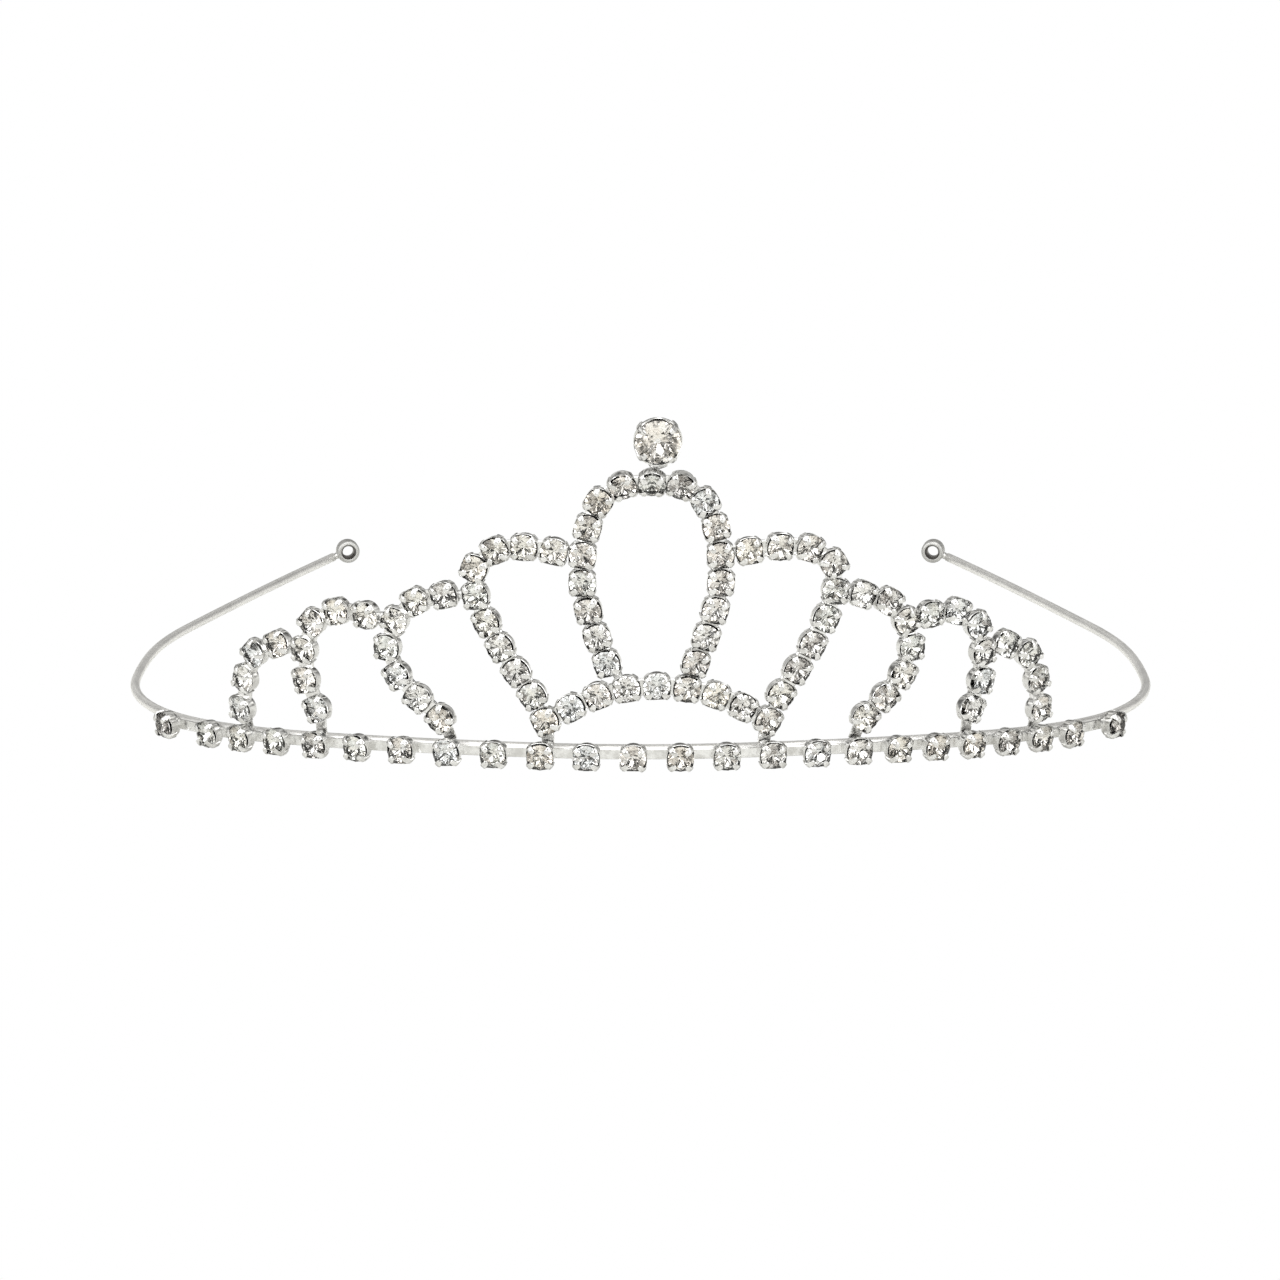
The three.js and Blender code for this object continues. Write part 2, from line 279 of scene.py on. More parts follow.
@dataclass(frozen=True)
class PaperFinish:
    """The matt paper that the tiara stands on: plain white to look at, softer where mirrored."""

    name: str = "studio_paper"
    mirrored: float = 0.85
    drift: float = 0.02
    warmth: float = 0.97
    tooth_scale: float = 60.0
    roughness: float = 0.9
    sheen: float = 0.1

    def material(self) -> bpy.types.Material:
        """Builds the paper: white to look at, and a soft grey where metal mirrors it.

        Returns:
            The material.
        """
        bench = NodeBench(self.name)
        tooth = bench.noise_at(self.tooth_scale, 2.0)
        low, high = self.mirrored - self.drift, self.mirrored + self.drift
        greys = [(share, (tone, tone, tone * self.warmth)) for share, tone in ((0.3, low), (0.7, high))]
        bench.link(bench.ramp(tooth, greys), "Color", bench.shader, "Base Color")
        bench.shader.inputs["Roughness"].default_value = self.roughness
        bench.shader.inputs["Specular IOR Level"].default_value = self.sheen
        path = bench.node("ShaderNodeLightPath")
        bright = bench.node("ShaderNodeEmission", Color=(1.0, 1.0, 1.0, 1.0), Strength=1.0)
        mix = bench.node("ShaderNodeMixShader")
        bench.link(path, "Is Camera Ray", mix, "Fac")
        bench.tree.links.new(bench.shader.outputs["BSDF"], mix.inputs[1])
        bench.tree.links.new(bright.outputs["Emission"], mix.inputs[2])
        bench.link(mix, "Shader", bench.output, "Surface")
        return bench.material


class Palette:
    """Every finish of the tiara, made once and shared."""

    def __init__(self) -> None:
        """Makes the materials."""
        self.plated = SilverFinish(
            "silver_plate", light=(0.93, 0.93, 0.925), dull=(0.70, 0.695, 0.68),
            roughness=(0.10, 0.26), cloud_scale=900.0, grain_scale=2400.0, grain=0.12,
        ).material()
        self.solder = SilverFinish(
            "solder_grey", light=(0.86, 0.86, 0.86), dull=(0.60, 0.60, 0.59),
            roughness=(0.22, 0.42), cloud_scale=1400.0, grain_scale=4200.0, grain=0.5,
        ).material()
        self.band = SilverFinish(
            "drawn_band_silver", light=(0.97, 0.965, 0.955), dull=(0.90, 0.895, 0.885),
            roughness=(0.40, 0.50), cloud_scale=260.0, grain_scale=900.0, grain=0.02,
        ).material()
        # The eye ring: turned silver, darkened well below the other silver as painted shade.
        self.eye = SilverFinish(
            "turned_silver", light=(0.62, 0.62, 0.61), dull=(0.50, 0.50, 0.49),
            roughness=(0.42, 0.52), cloud_scale=700.0, grain_scale=2000.0, grain=0.03,
        ).material()
        # The bore: dark silver painted as the shade inside the hole.
        self.bore = SilverFinish(
            "shaded_bore_silver", light=(0.34, 0.33, 0.32), dull=(0.22, 0.21, 0.20),
            roughness=(0.30, 0.45), cloud_scale=900.0, grain_scale=2000.0, grain=0.03,
        ).material()
        tints = {
            "clear": (1.0, 1.0, 1.0),
            "warm": (1.0, 0.99, 0.965),
            "cool": (0.985, 0.99, 1.0),
            "straw": (1.0, 0.995, 0.96),
        }
        self.crystals = [CrystalFinish(f"crystal_{k}", tint).material() for k, tint in tints.items()]
        # The foils' dark grey to white patches are painted reflections; the faint cream and ice tints of
        # their middle tones are painted coloured glints.
        grey = (0.46, 0.44, 0.42)
        white = (0.98, 0.975, 0.96)
        glint_tint_middles = {"white": (0.95, 0.94, 0.92), "cream": (0.96, 0.93, 0.89), "ice": (0.92, 0.94, 0.95)}
        self.foils = [
            FoilFinish(f"foil_{k}", ((0.34, grey), (0.47, tone), (0.66, white))).material()
            for k, tone in glint_tint_middles.items()
        ]
        # The end stones' foil: the same painted reflections, darker at the dark end.
        darkest_painted_reflection = (0.16, 0.15, 0.14)
        self.end_foil = FoilFinish("foil_smoke", ((0.40, darkest_painted_reflection), (0.52, grey), (0.68, white))).material()
        # The peak stone's foil: painted reflections, deeper at the dark end, with a painted cream glint
        # tone.
        deep = (0.30, 0.29, 0.27)
        self.peak_foil = FoilFinish(
            "foil_peak", ((0.38, deep), (0.47, glint_tint_middles["cream"]), (0.66, white)), scale=650.0
        ).material()


# ------------------------------------------------------------------------------ meshes
@dataclass
class MeshDraft:
    """Vertices and faces gathered in millimetres before they become one piece."""

    points: list[Vector] = field(default_factory=list)
    faces: list[tuple[int, ...]] = field(default_factory=list)
    finish_of: list[int] = field(default_factory=list)

    def add(self, form: "MeshDraft", place: Matrix) -> None:
        """Adds a copy of another draft.

        Args:
            form: the draft to copy.
            place: where the copy goes.
        """
        start = len(self.points)
        self.points += [place @ p for p in form.points]
        self.faces += [tuple(start + i for i in f) for f in form.faces]
        self.finish_of += form.finish_of

    def face(self, *corners: int, finish: int = 0) -> None:
        """Adds one face by the numbers of its corners."""
        self.faces.append(corners)
        self.finish_of.append(finish)

    def ring(self, points: list[Vector]) -> list[int]:
        """Adds points.

        Args:
            points: the points, in millimetres.

        Returns:
            Their numbers.
        """
        start = len(self.points)
        self.points += points
        return list(range(start, start + len(points)))

    def bridge(self, a: list[int], b: list[int], finish: int = 0) -> None:
        """Joins two closed rings of equal count with quads.

        Args:
            a: one ring.
            b: the other.
            finish: the quads' finish.
        """
        n = len(a)
        for k in range(n):
            self.face(a[k], a[(k + 1) % n], b[(k + 1) % n], b[k], finish=finish)

    def piece(
        self,
        name: str,
        finishes: list[bpy.types.Material],
        origin: Vector,
        smooth: bool = True,
        crease: float = 38.0,
    ) -> bpy.types.Object:
        """Makes the Blender object, in metres in the row frame.

        Args:
            name: the piece's name.
            finishes: its materials, by finish number.
            origin: the crown surface's origin in the row frame, in millimetres.
            smooth: whether faces are shaded smooth where they meet at a shallow angle.
            crease: the angle in degrees past which an edge stays sharp.

        Returns:
            The new object, linked to the scene.
        """
        mesh = bpy.data.meshes.new(name)
        mesh.from_pydata([(p + origin) * MM for p in self.points], [], self.faces)
        for finish in finishes:
            mesh.materials.append(finish)
        mesh.polygons.foreach_set("material_index", self.finish_of)
        mesh.validate()
        work = bmesh.new()
        work.from_mesh(mesh)
        bmesh.ops.recalc_face_normals(work, faces=work.faces)
        work.to_mesh(mesh)
        work.free()
        if smooth:
            mesh.shade_smooth()
            mesh.set_sharp_from_angle(angle=math.radians(crease))
        made = bpy.data.objects.new(name, mesh)
        bpy.context.scene.collection.objects.link(made)
        return made


def report(piece: bpy.types.Object) -> None:
    """Logs one finished piece with its size in millimetres.

    Args:
        piece: the piece.
    """
    size = [round(d / MM, 1) for d in piece.dimensions]
    LOG.info("%-28s %5d faces  %s mm", piece.name, len(piece.data.polygons), size)


# ------------------------------------------------------------------------------ layout
@dataclass(frozen=True)
class BandArc:
    """One arc of half the band's plan: its radius and the heading it reaches, in degrees."""

    radius: float
    heading: float


@dataclass
class CrownSurface:
    """The leaning surface over the band wire on which every strand lies, in millimetres."""

    wire_diameter: float = 1.3
    arcs: tuple[BandArc, ...] = (
        BandArc(82.0, 45.0),
        BandArc(45.25, 90.0),
        BandArc(167.0, 94.8),
        BandArc(81.0, 109.1),
        BandArc(900.0, 112.5),
    )
    band_sag: float = 3.8
    sag_reach: float = 60.0
    arm_dip: float = 0.15
    lean: float = math.radians(4.5)
    flex_margin: float = 1.2
    eye_diameter: float = 3.5
    eye_turn: float = math.radians(10.0)
    eye_rise: float = 0.9
    eye_lift: float = 0.6
    cup_diameter: float = 3.6
    cup_depth: float = 2.5
    prong_rise: float = 0.45
    link_gap: float = 0.35
    soldering: float = 0.15
    base_cups: int = 24
    base_spacing: float = 1.53
    end_spacing: float = 2.36
    base_drop: float = 0.6
    crown_shift: float = 2.1
    shift_hold: float = 15.0
    shift_end: float = 60.0
    oval_shift: float = -0.7
    oval_fade: int = 3
    slope_step: float = 0.01

    def __post_init__(self) -> None:
        """Derives the sizes that follow from the others and finds the frame's origin."""
        self.pitch = self.cup_diameter + self.link_gap
        self.wire_radius = self.wire_diameter / 2
        self.back_offset = self.wire_radius + self.soldering
        spaces = (self.base_cups / 2 - 1.5) * self.base_spacing + self.end_spacing
        self.end_reach = spaces * self.pitch
        self.flex_reach = self.end_reach + self.cup_diameter / 2 + self.flex_margin
        turned = 0.0
        self.half_wire = 0.0
        for arc in self.arcs:
            self.half_wire += arc.radius * math.radians(arc.heading - turned)
            turned = arc.heading
        foot = self.cup_diameter / 2 * math.cos(self.lean)
        foot += (self.cup_depth - self.prong_rise) * math.sin(self.lean)
        eye = self.eye_diameter / 2 + self.eye_lift - self.sag_at(self.end_reach) - self.base_drop - foot
        self.arm_settle = eye - self.eye_rise + self.sag_at(self.half_wire)
        self.origin = Vector((0.0, 0.0, 0.0))
        self.origin = self._frame_origin()

    def _frame_origin(self) -> Vector:
        """Finds where the wire's front centre stands, from the boxes of the two eyes.

        Returns:
            The place in the row frame.
        """
        centres = []
        for side in Side:
            low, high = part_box(f"hairpin_eye_{side.word}")
            centres.append((low + high) / 2 / MM)
        middle = (centres[0] + centres[1]) / 2
        expected = self.eye_centre(Side.RIGHT)
        return Vector((middle.x, middle.y - expected.y, middle.z - expected.z))

    def eye_centre(self, side: Side) -> Vector:
        """Returns the centre of an eye, beside the wire's cut end.

        Args:
            side: the half it is on.

        Returns:
            The centre, from the wire's front centre.
        """
        end = self.point(side.value * self.half_wire, 0.0, 0.0)
        skew = self.plan_at(self.half_wire)[2] - math.pi / 2 + self.eye_turn
        reach = self.eye_diameter / 2 + self.soldering + self.wire_radius * math.cos(skew)
        beside = math.sqrt(reach**2 - self.eye_rise**2)
        shift = Vector((-side.value * math.cos(self.eye_turn), math.sin(self.eye_turn), 0.0))
        return end + shift * beside + Vector((0.0, 0.0, self.eye_rise))

    def sag_at(self, s: float) -> float:
        """Returns how far the wire has dropped at distance s round the band."""
        return self.band_sag * (1 - math.exp(-((s / self.sag_reach) ** 3)))

    def height_at(self, s: float) -> float:
        """Returns the wire's height over its front centre at distance s.

        Args:
            s: distance round the wire, 0 or more.

        Returns:
            The height.
        """
        share = min(max((s - self.flex_reach) / (self.half_wire - self.flex_reach), 0.0), 1.0)
        dip = self.arm_dip * math.sin(math.pi * share) ** 2
        return self.arm_settle * share * share * (3 - 2 * share) - self.sag_at(s) - dip

    def stand_at(self, s: float) -> float:
        """Returns where a part of the crown stands, from its even spacing round the band.

        Args:
            s: its even distance round the wire, with its sign.

        Returns:
            The distance with the crown's shift, which fades out down the sides.
        """
        share = (abs(s) - self.shift_hold) / (self.shift_end - self.shift_hold)
        share = min(max(share, 0.0), 1.0)
        return s + self.crown_shift * (1 - share * share * (3 - 2 * share))

    def plan_at(self, s: float) -> tuple[float, float, float]:
        """Walks the plan's arcs.

        Args:
            s: distance round the wire from the front centre, 0 or more.

        Returns:
            x, y and the heading there in radians.
        """
        x = y = start = 0.0
        for arc in self.arcs:
            end = math.radians(arc.heading)
            length = arc.radius * (end - start)
            last = arc is self.arcs[-1]
            stop = start + s / arc.radius if s <= length or last else end
            x += arc.radius * (math.sin(stop) - math.sin(start))
            y += arc.radius * (math.cos(start) - math.cos(stop))
            if s <= length or last:
                return x, y, stop
            s -= length
            start = end
        raise ValueError("the band has no arcs")

    def point(self, s: float, h: float, n: float) -> Vector:
        """Returns a point of the crown.

        Args:
            s: signed distance round the wire.
            h: height above the wire.
            n: distance outwards from it.

        Returns:
            The point, from the wire's front centre.
        """
        side = -1.0 if s < 0 else 1.0
        x, y, heading = self.plan_at(abs(s))
        out = n + h * math.tan(self.lean)
        return Vector(
            (
                side * (x + math.sin(heading) * out),
                y - math.cos(heading) * out,
                h + self.height_at(abs(s)),
            )
        )

    def seat(self, s: float, h: float, along: tuple[float, float], roll: float = 0.0) -> Matrix:
        """Returns a cup's place: X along the strand, Z outwards, origin at the cup's back.

        Args:
            s: signed distance round the wire.
            h: height above it.
            along: the strand's direction there, round and up.
            roll: turn about the strand, in degrees.

        Returns:
            The place as a matrix.
        """
        step = self.slope_step
        origin = self.point(s, h, self.back_offset)
        ahead = self.point(s + step, h, self.back_offset)
        round_ = (ahead - self.point(s - step, h, self.back_offset)).normalized()
        up = (self.point(s, h + step, self.back_offset) - origin).normalized()
        out = round_.cross(up).normalized()
        x = (round_ * along[0] + up * along[1]).normalized()
        y = out.cross(x)
        turn = Matrix((x, y, out)).transposed().to_4x4()
        return Matrix.Translation(origin) @ turn @ Matrix.Rotation(math.radians(roll), 4, "X")


class StrandCurve:
    """A smooth curve through a strand's points, walked by length."""

    def __init__(self, points: list[tuple[float, float]], steps: int = 400) -> None:
        """Measures the curve.

        Args:
            points: (round, up) pairs in millimetres.
            steps: samples of its length.
        """
        self.points = [np.array(p, float) for p in points]
        self.times = np.linspace(0.0, 1.0, steps + 1)
        run = np.array([self.at_time(t) for t in self.times])
        self.lengths = np.concatenate([[0.0], np.cumsum(np.linalg.norm(np.diff(run, axis=0), axis=1))])

    def at_time(self, t: float) -> np.ndarray:
        """Returns the centripetal curve's point at parameter t, from 0 to 1.

        Args:
            t: the parameter.

        Returns:
            The point.
        """
        p, last = self.points, len(self.points) - 1
        k = min(int(t * last), last - 1)
        w = t * last - k
        p1, p2 = p[k], p[k + 1]
        p0 = p[k - 1] if k else 2 * p[0] - p[1]
        p3 = p[k + 2] if k + 2 <= last else 2 * p[-1] - p[-2]
        d0, d1, d2 = (math.sqrt(np.linalg.norm(b - a)) for a, b in ((p0, p1), (p1, p2), (p2, p3)))
        t1 = ((p1 - p0) / d0 - (p2 - p0) / (d0 + d1) + (p2 - p1) / d1) * d1
        t2 = ((p2 - p1) / d1 - (p3 - p1) / (d1 + d2) + (p3 - p2) / d2) * d1
        c2 = -3 * p1 + 3 * p2 - 2 * t1 - t2
        c3 = 2 * p1 - 2 * p2 + t1 + t2
        return p1 + t1 * w + c2 * w * w + c3 * w**3

    def at_share(self, share: float) -> tuple[np.ndarray, np.ndarray]:
        """Returns the point and the direction at a share of the curve's length.

        Args:
            share: the share, from 0 to 1.

        Returns:
            The point and the unit direction.
        """
        t = float(np.interp(share * self.lengths[-1], self.lengths, self.times))
        step = 1e-4
        way = self.at_time(min(t + step, 1.0)) - self.at_time(max(t - step, 0.0))
        return self.at_time(t), way / np.linalg.norm(way)


# ------------------------------------------------------------------------------ forms
@dataclass(frozen=True)
class CupForm:
    """A pressed cup with four claws that bend over the stone, in millimetres."""

    radius: float
    back: float
    floor: float
    wall: float
    stone_radius: float
    girdle: float
    claw_width: float
    claw_thick: float
    claw_reach: float
    dip: float
    squareness: float
    sides: int = 24
    rim_rise: float = 0.02
    claw_rise: float = 0.17
    claw_sides: int = 8
    claw_spread: float = 0.09
    reach_spread: tuple[float, float] = (0.86, 1.12)

    def outline(self, radius: float, angle: float, squareness: float) -> Vector:
        """Returns a point of the cup's outline, round at squareness 2 and squarer above it.

        Args:
            radius: half its width across the flats.
            angle: the place round it, in radians.
            squareness: the exponent of its outline.

        Returns:
            The point, at height 0.
        """
        c, s = math.cos(angle), math.sin(angle)
        grow = (abs(c) ** squareness + abs(s) ** squareness) ** (-1 / squareness)
        return Vector((c * radius * grow, s * radius * grow, 0.0))

    def shell(self) -> MeshDraft:
        """Returns the cup's pressed wall and its round back plate.

        Returns:
            The shell, open at the top.
        """
        draft = MeshDraft()
        angles = [k * 2 * math.pi / self.sides for k in range(self.sides)]
        rim = self.girdle + self.rim_rise
        # Radius, height, squareness and share of the dip, up the outside and down the inside.
        rows = [
            (self.back - 0.2, 0.0, 2.0, 0.0),
            (self.back - 0.03, 0.06, 2.0, 0.0),
            (self.back + 0.03, 0.2, 2.1, 0.0),
            ((self.back + self.radius) / 2, self.floor, 2.3, 0.0),
            (self.radius, rim - self.dip, self.squareness, 0.35),
            (self.radius, rim - 0.04, self.squareness, 1.0),
            (self.radius - self.wall * 0.5, rim, self.squareness, 1.0),
            (self.radius - self.wall, rim - 0.05, self.squareness, 1.0),
            (self.radius - self.wall * 1.3, self.floor + 0.2, 2.3, 0.0),
        ]
        rings = []
        for radius, height, squareness, dips in rows:
            ring = []
            for angle in angles:
                point = self.outline(radius, angle, squareness)
                point.z = height - self.dip * dips * math.cos(2 * angle) ** 2
                ring.append(point)
            rings.append(draft.ring(ring))
        for a, b in zip(rings, rings[1:]):
            draft.bridge(a, b)
        for ring, height in ((rings[0][::-1], 0.0), (rings[-1], self.floor)):
            centre = draft.ring([Vector((0.0, 0.0, height))])[0]
            for k in range(self.sides):
                draft.face(ring[k], ring[(k + 1) % self.sides], centre)
        return draft

    def claw(self, angle: float, reach: float) -> MeshDraft:
        """Returns one claw.

        Args:
            angle: its place round the cup, in radians.
            reach: how far its tip lies inside the wall.

        Returns:
            The claw, a strap that tapers to a rounded tip on the stone.
        """
        draft = MeshDraft()
        corner = self.outline(self.radius, angle, self.squareness).length - 0.04
        top = self.girdle + self.stone_radius * 2 * self.claw_rise
        # Distance from the cup's axis, height and share of the full width, from the wall to the tip.
        path = [
            (corner - 0.06, self.girdle * 0.45, 1.25),
            (corner, self.girdle - 0.25, 1.1),
            (corner - 0.02, self.girdle + 0.14, 1.0),
            (corner - reach * 0.20, self.girdle + 0.36, 0.98),
            (corner - reach * 0.52, top + 0.02, 0.92),
            (corner - reach * 0.86, top + 0.10, 0.78),
            (corner - reach, top + 0.08, 0.42),
        ]
        along = Vector((math.cos(angle), math.sin(angle), 0.0))
        across = Vector((-along.y, along.x, 0.0))
        up = Vector((0.0, 0.0, 1.0))
        rings = []
        for k, (r, z, taper) in enumerate(path):
            before, after = path[max(k - 1, 0)], path[min(k + 1, len(path) - 1)]
            way = along * (after[0] - before[0]) + up * (after[1] - before[1])
            normal = way.cross(across).normalized()
            half = self.claw_width / 2 * taper
            thick = self.claw_thick / 2 * min(taper, 1.0)
            centre = along * r + up * z
            section = []
            for j in range(self.claw_sides):
                a = (j + 0.5) * 2 * math.pi / self.claw_sides
                flat = abs(math.cos(a)) > 0.5
                section.append(
                    centre
                    + across * (math.copysign(half if flat else half * 0.6, math.cos(a)))
                    + normal * (math.copysign(thick * 0.45 if flat else thick, math.sin(a)))
                )
            rings.append(draft.ring(section))
        for a, b in zip(rings, rings[1:]):
            draft.bridge(a, b)
        draft.face(*rings[0][::-1])
        draft.face(*rings[-1])
        return draft

    def cup(self, rng: random.Random) -> MeshDraft:
        """Returns the whole cup with its claws bent a little unevenly.

        Args:
            rng: picks the bends.

        Returns:
            The cup.
        """
        draft = MeshDraft()
        draft.add(self.shell(), Matrix.Identity(4))
        for k in range(4):
            angle = math.pi / 4 + k * math.pi / 2 + rng.uniform(-self.claw_spread, self.claw_spread)
            reach = self.claw_reach * rng.uniform(*self.reach_spread)
            draft.add(self.claw(angle, reach), Matrix.Identity(4))
        return draft


@dataclass(frozen=True)
class StoneForm:
    """A round cut stone: table, stars, kites and halves over a foiled pavilion."""

    radius: float
    girdle: float
    table_ratio: float = 0.54
    star_ratio: float = 0.77
    half_ratio: float = 0.30
    crown_ratio: float = 0.34
    star_height: float = 0.58
    pavilion_ratio: float = 0.78
    half_depth: float = 0.73
    belt: float = 0.05

    def draft(self) -> MeshDraft:
        """Returns the stone, with finish 0 on its glass and 1 on its foil.

        Returns:
            The stone.
        """
        draft = MeshDraft()
        r = self.radius
        top = self.girdle + r * self.crown_ratio
        star_top = self.girdle + r * self.crown_ratio * self.star_height
        half_foot = self.girdle - r * self.pavilion_ratio * self.half_depth
        eighth = math.pi / 4

        def around(radius: float, height: float, count: int, shift: float = 0.0) -> list[int]:
            """Adds a ring of evenly spaced points.

            Args:
                radius: the ring's radius.
                height: its height.
                count: its points.
                shift: the angle of the first, in radians.

            Returns:
                Their numbers.
            """
            return draft.ring(
                [
                    Vector((radius * math.cos(a), radius * math.sin(a), height))
                    for a in (shift + k * 2 * math.pi / count for k in range(count))
                ]
            )

        table = around(r * self.table_ratio, top, 8)
        stars = around(r * self.star_ratio, star_top, 8, eighth / 2)
        upper = around(r, self.girdle + self.belt / 2, 16)
        lower = around(r, self.girdle - self.belt / 2, 16)
        halves = around(r * self.half_ratio, half_foot, 8, eighth / 2)
        culet = draft.ring([Vector((0.0, 0.0, self.girdle - r * self.pavilion_ratio))])[0]
        draft.face(*table)
        for k in range(8):
            j, a, b, c = (k + 1) % 8, 2 * k, 2 * k + 1, (2 * k + 2) % 16
            draft.face(table[k], stars[k], table[j])
            draft.face(table[k], stars[k - 1], upper[a], stars[k])
            draft.face(stars[k], upper[a], upper[b])
            draft.face(stars[k], upper[b], upper[c])
            draft.face(lower[a], halves[k], lower[b], finish=1)
            draft.face(lower[b], halves[k], lower[c], finish=1)
            draft.face(lower[a], halves[k - 1], culet, halves[k], finish=1)
        for k in range(16):
            draft.face(upper[k], lower[k], lower[(k + 1) % 16], upper[(k + 1) % 16])
        return draft


CHAIN_CUP = CupForm(
    radius=1.84, back=1.72, floor=0.5, wall=0.10, stone_radius=1.74, girdle=1.72,
    claw_width=0.80, claw_thick=0.28, claw_reach=1.05, dip=0.35, squareness=3.0,
)
CHAIN_STONE = StoneForm(radius=1.76, girdle=1.78)
PEAK_CUP = CupForm(
    radius=3.2, back=2.37, floor=0.7, wall=0.24, stone_radius=3.02, girdle=2.75,
    claw_width=0.86, claw_thick=0.34, claw_reach=0.98, dip=0.7, squareness=2.05, sides=36,
)
PEAK_STONE = StoneForm(radius=3.0, girdle=2.8)

STRIP_EASE = 0.28
DENT_SCALE = 1.7


def bar_form(length: float, width: float, thick: float, bow: float = 0.0) -> MeshDraft:
    """Returns a flat strip along X with eased edges.

    Args:
        length: its length.
        width: its width along Y.
        thick: its thickness along Z.
        bow: how far its middle stands out along Z.

    Returns:
        The strip, centred over the origin.
    """
    draft = MeshDraft()
    w, t, ease = width / 2, thick / 2, thick * STRIP_EASE
    outline = [
        (w - ease, -t), (w, -t + ease), (w, t - ease), (w - ease, t),
        (-w + ease, t), (-w, t - ease), (-w, -t + ease), (-w + ease, -t),
    ]
    rings = []
    for share in (0.0, 0.25, 0.5, 0.75, 1.0):
        lift = bow * math.sin(math.pi * share)
        rings.append(draft.ring([Vector((length * (share - 0.5), y, z + lift)) for y, z in outline]))
    for a, b in zip(rings, rings[1:]):
        draft.bridge(a, b)
    draft.face(*rings[0][::-1])
    draft.face(*rings[-1])
    return draft


def span(start: Vector, end: Vector, outward: Vector) -> tuple[float, Matrix]:
    """Returns the length between two points and the place of a strip between them.

    Args:
        start: where the strip begins.
        end: where it ends.
        outward: the direction its face looks in.

    Returns:
        The length and the place.
    """
    way = end - start
    x = way.normalized()
    y = outward.cross(x).normalized()
    turn = Matrix((x, y, x.cross(y))).transposed().to_4x4()
    return way.length, Matrix.Translation((start + end) / 2) @ turn


def blob_form(size: Vector, seed: int, rough: float = 0.10) -> MeshDraft:
    """Returns a frozen drop of solder.

    Args:
        size: its half sizes.
        seed: picks its dents.
        rough: depth of the dents, as a share of its size.

    Returns:
        The drop, centred on the origin.
    """
    work = bmesh.new()
    bmesh.ops.create_icosphere(work, subdivisions=2, radius=1.0)
    draft = MeshDraft()
    for vertex in work.verts:
        dent = noise.noise(vertex.co * DENT_SCALE + Vector((seed * 3.1, seed * 1.7, 0.0)))
        swell = 1.0 + rough * dent * 2
        draft.points.append(Vector(c * s * swell for c, s in zip(vertex.co, size)))
    for face in work.faces:
        draft.face(*(v.index for v in face.verts))
    work.free()
    return draft


